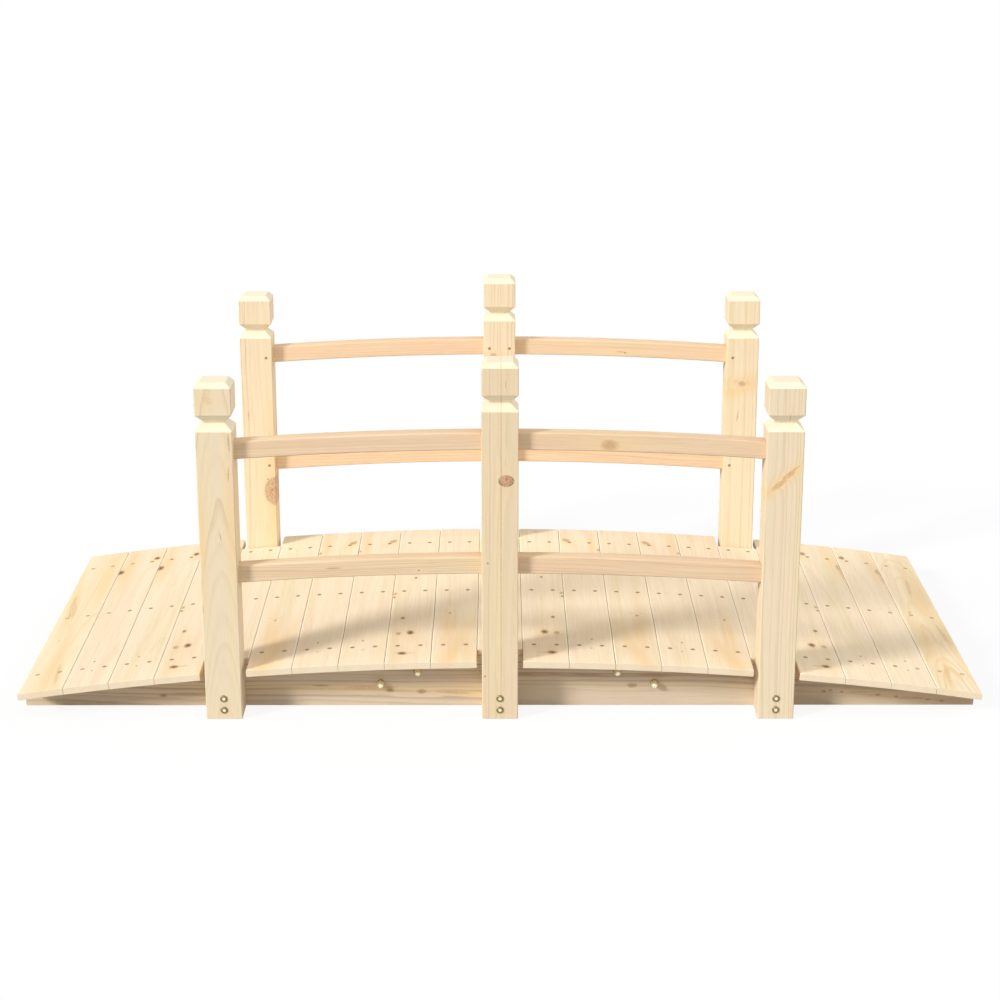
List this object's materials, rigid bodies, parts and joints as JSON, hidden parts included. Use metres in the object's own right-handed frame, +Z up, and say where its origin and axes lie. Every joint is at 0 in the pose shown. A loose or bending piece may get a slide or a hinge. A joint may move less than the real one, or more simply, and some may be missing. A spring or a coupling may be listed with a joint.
{
  "type": "arched wooden garden footbridge",
  "caption": "Small arched garden footbridge in bare softwood: cross planks on arched beams, with square posts and two curved handrails a side.",
  "frame": {"origin": "on the ground at the middle of the bridge, under the crown of the deck", "axes": "+X along the walkway to the right as seen from the front, +Y across the bridge to the back, +Z up"},
  "size_m": [1.5004, 0.67, 0.569],
  "materials": {
    "deck_fir": "planed, unfinished",
    "post_fir": "planed, unfinished",
    "rail_fir": "planed, unfinished",
    "beam_fir": "planed, unfinished",
    "yellow_steel": "yellow zinc",
    "screw_steel": "dull brown steel"
  },
  "bodies": {
    "root": {"plank_01": "deck_fir", "plank_02": "deck_fir", "plank_03": "deck_fir", "plank_04": "deck_fir", "plank_05": "deck_fir", "plank_06": "deck_fir", "plank_07": "deck_fir", "plank_08": "deck_fir", "plank_09": "deck_fir", "plank_10": "deck_fir", "plank_11": "deck_fir", "plank_12": "deck_fir", "plank_13": "deck_fir", "plank_14": "deck_fir", "plank_15": "deck_fir", "plank_16": "deck_fir", "plank_17": "deck_fir", "plank_18": "deck_fir", "plank_19": "deck_fir", "plank_20": "deck_fir", "plank_21": "deck_fir", "post_front_left": "post_fir", "post_front_centre": "post_fir", "post_front_right": "post_fir", "post_back_left": "post_fir", "post_back_centre": "post_fir", "post_back_right": "post_fir", "rail_front_left_lower": "rail_fir", "rail_front_right_lower": "rail_fir", "rail_front_left_upper": "rail_fir", "rail_front_right_upper": "rail_fir", "rail_back_left_lower": "rail_fir", "rail_back_right_lower": "rail_fir", "rail_back_left_upper": "rail_fir", "rail_back_right_upper": "rail_fir", "stringer_front_left": "beam_fir", "stringer_front_right": "beam_fir", "stringer_middle_left": "beam_fir", "stringer_middle_right": "beam_fir", "stringer_back_left": "beam_fir", "stringer_back_right": "beam_fir", "splice_front": "beam_fir", "splice_middle": "beam_fir", "splice_back": "beam_fir"}
  },
  "joints": []
}
